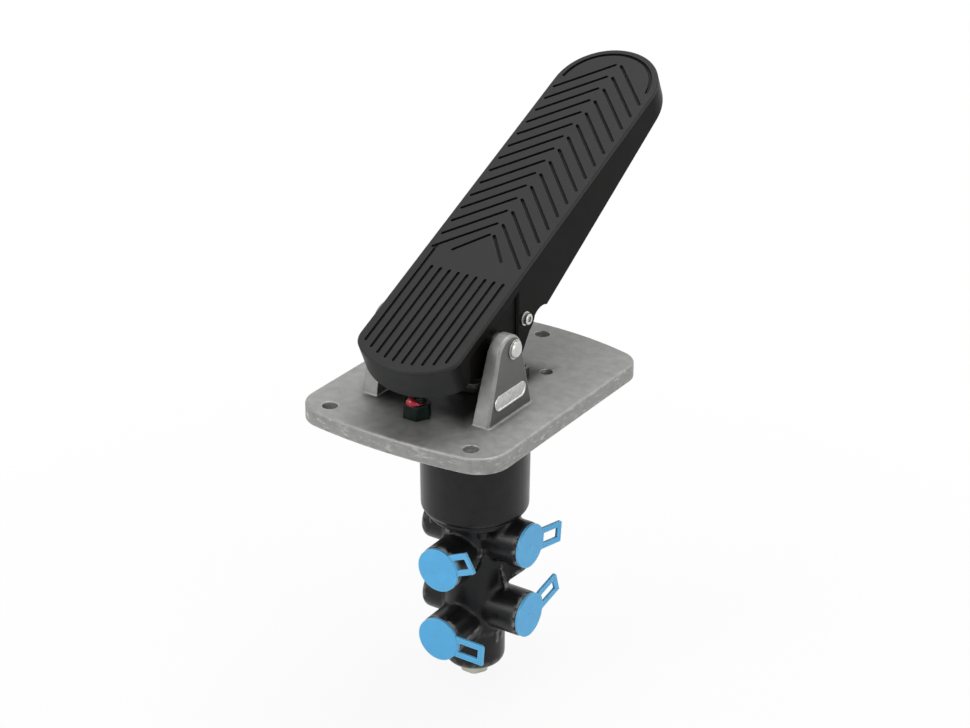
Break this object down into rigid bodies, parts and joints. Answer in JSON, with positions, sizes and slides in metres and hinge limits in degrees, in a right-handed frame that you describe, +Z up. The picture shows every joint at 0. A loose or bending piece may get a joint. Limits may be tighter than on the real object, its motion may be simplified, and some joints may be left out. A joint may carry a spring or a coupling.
{
  "type": "brake valve",
  "caption": "Treadle foot brake valve: ribbed pedal pivoted in a cast mounting plate, above a cylindrical housing and a casting with capped side ports.",
  "frame": {"origin": "on the valve's axis, in the plane of the mounting plate's underside", "axes": "+Z up along the plunger, out of the plate's top; +Y towards the toe end of the pedal; +X towards the ear with the small oval plate"},
  "size_m": [0.16, 0.3148, 0.4163],
  "materials": {
    "cast_aluminium": "as-cast, satin, edges worn bright",
    "type_plate": "bright satin, blank",
    "zinc_steel": "bright zinc plating",
    "yellow_zinc": "yellowish zinc plating",
    "dark_steel": "black oxide with a green-black tint",
    "seal_paint": "red sealing paint, glossy",
    "pedal_black": "black moulding, fine grain",
    "tread_rubber": "matt charcoal rubber",
    "boot_rubber": "matt black rubber",
    "black_paint": "semi-gloss black paint over a casting",
    "cap_blue": "soft light blue moulding",
    "bearing_bronze": "plain bearing bronze",
    "machined_brass": "machined brass",
    "machined_aluminium": "machined",
    "guide_plastic": "black moulded guide",
    "ground_steel": "ground steel",
    "spring_steel": "spring wire",
    "seal_rubber": "moulded seal rubber",
    "washer_copper": "soft copper"
  },
  "bodies": {
    "valve": {"mounting_plate": "cast_aluminium", "ear_plate": "type_plate", "pivot_pin": "zinc_steel", "pivot_rings": "zinc_steel", "stop_screw": "dark_steel", "stop_locknut": "dark_steel", "seal_paint": "seal_paint", "plunger_guide": "guide_plastic", "plunger_boot": "boot_rubber", "boot_clamp": "zinc_steel", "plate_gasket": "seal_rubber", "plate_screws": "zinc_steel", "upper_housing": "black_paint", "port_housing": "black_paint", "case_screws": "black_paint", "case_oring": "seal_rubber", "bottom_fitting": "yellow_zinc", "fitting_washer": "washer_copper", "upper_inlet_seat": "machined_brass", "lower_inlet_seat": "machined_brass", "upper_valve_guide": "machined_aluminium", "lower_valve_guide": "machined_aluminium", "circlips": "zinc_steel", "upper_return_spring": "spring_steel", "relay_spring": "spring_steel", "upper_valve_spring": "spring_steel", "lower_valve_spring": "spring_steel"},
    "treadle": {"pedal_body": "pedal_black", "pedal_pad": "tread_rubber", "pivot_bushes": "bearing_bronze", "roller_pin": "zinc_steel", "roller_rings": "zinc_steel"},
    "roller": {"roller": "ground_steel", "roller_bush": "bearing_bronze"},
    "plunger": {"plunger": "ground_steel", "spring_seat": "machined_aluminium"},
    "upper_piston": {"upper_piston": "machined_aluminium", "upper_piston_seal": "seal_rubber", "graduating_spring": "spring_steel"},
    "relay_piston": {"relay_piston": "machined_aluminium", "relay_seal": "seal_rubber"},
    "upper_valve": {"upper_valve": "machined_brass", "upper_valve_face": "seal_rubber"},
    "lower_valve": {"lower_valve": "machined_brass", "lower_valve_face": "seal_rubber"},
    "cap_supply_upper": {"cap_supply_upper": "cap_blue"},
    "cap_supply_lower": {"cap_supply_lower": "cap_blue"},
    "cap_delivery_upper": {"cap_delivery_upper": "cap_blue"},
    "cap_delivery_lower": {"cap_delivery_lower": "cap_blue"}
  },
  "joints": [
    {"name": "pedal_hinge", "type": "hinge", "parent": "valve", "child": "treadle", "pos_m": [0, -0.0315, 0.059], "axis": [-1, 0, 0], "range_deg": [0, 18], "stiffness_Nm_per_rad": 8, "springref_deg": -8.59},
    {"name": "roller_spin", "type": "hinge", "parent": "treadle", "child": "roller", "pos_m": [0, 0, 0.0666], "axis": [1, 0, 0], "continuous": true},
    {"name": "plunger_slide", "type": "slide", "parent": "valve", "child": "plunger", "axis": [0, 0, -1], "range_m": [0, 0.01012], "deforming": ["plunger_boot", "graduating_spring"]},
    {"name": "upper_piston_slide", "type": "slide", "parent": "valve", "child": "upper_piston", "axis": [0, 0, -1], "range_m": [0, 0.0045], "deforming": ["upper_return_spring"]},
    {"name": "relay_piston_slide", "type": "slide", "parent": "valve", "child": "relay_piston", "axis": [0, 0, -1], "range_m": [0, 0.0035], "deforming": ["relay_spring"]},
    {"name": "upper_valve_slide", "type": "slide", "parent": "valve", "child": "upper_valve", "axis": [0, 0, -1], "range_m": [0, 0.0023], "deforming": ["upper_valve_spring"]},
    {"name": "lower_valve_slide", "type": "slide", "parent": "valve", "child": "lower_valve", "axis": [0, 0, -1], "range_m": [0, 0.0013], "deforming": ["lower_valve_spring"]},
    {"name": "cap_supply_upper_pull", "type": "slide", "parent": "valve", "child": "cap_supply_upper", "axis": [0, -1, 0], "range_m": [0, 0.014]},
    {"name": "cap_supply_lower_pull", "type": "slide", "parent": "valve", "child": "cap_supply_lower", "axis": [0, -1, 0], "range_m": [0, 0.014]},
    {"name": "cap_delivery_upper_pull", "type": "slide", "parent": "valve", "child": "cap_delivery_upper", "axis": [1, 0, 0], "range_m": [0, 0.014]},
    {"name": "cap_delivery_lower_pull", "type": "slide", "parent": "valve", "child": "cap_delivery_lower", "axis": [1, 0, 0], "range_m": [0, 0.014]}
  ],
  "couplings": [
    {"joint": "plunger_slide", "follows": "pedal_hinge", "m_per_rad": 0.032212},
    {"joint": "upper_piston_slide", "follows": "pedal_hinge", "m_per_rad": 0.014323},
    {"joint": "relay_piston_slide", "follows": "pedal_hinge", "m_per_rad": 0.01114},
    {"joint": "upper_valve_slide", "follows": "pedal_hinge", "m_per_rad": 0.007321},
    {"joint": "lower_valve_slide", "follows": "pedal_hinge", "m_per_rad": 0.004138}
  ]
}
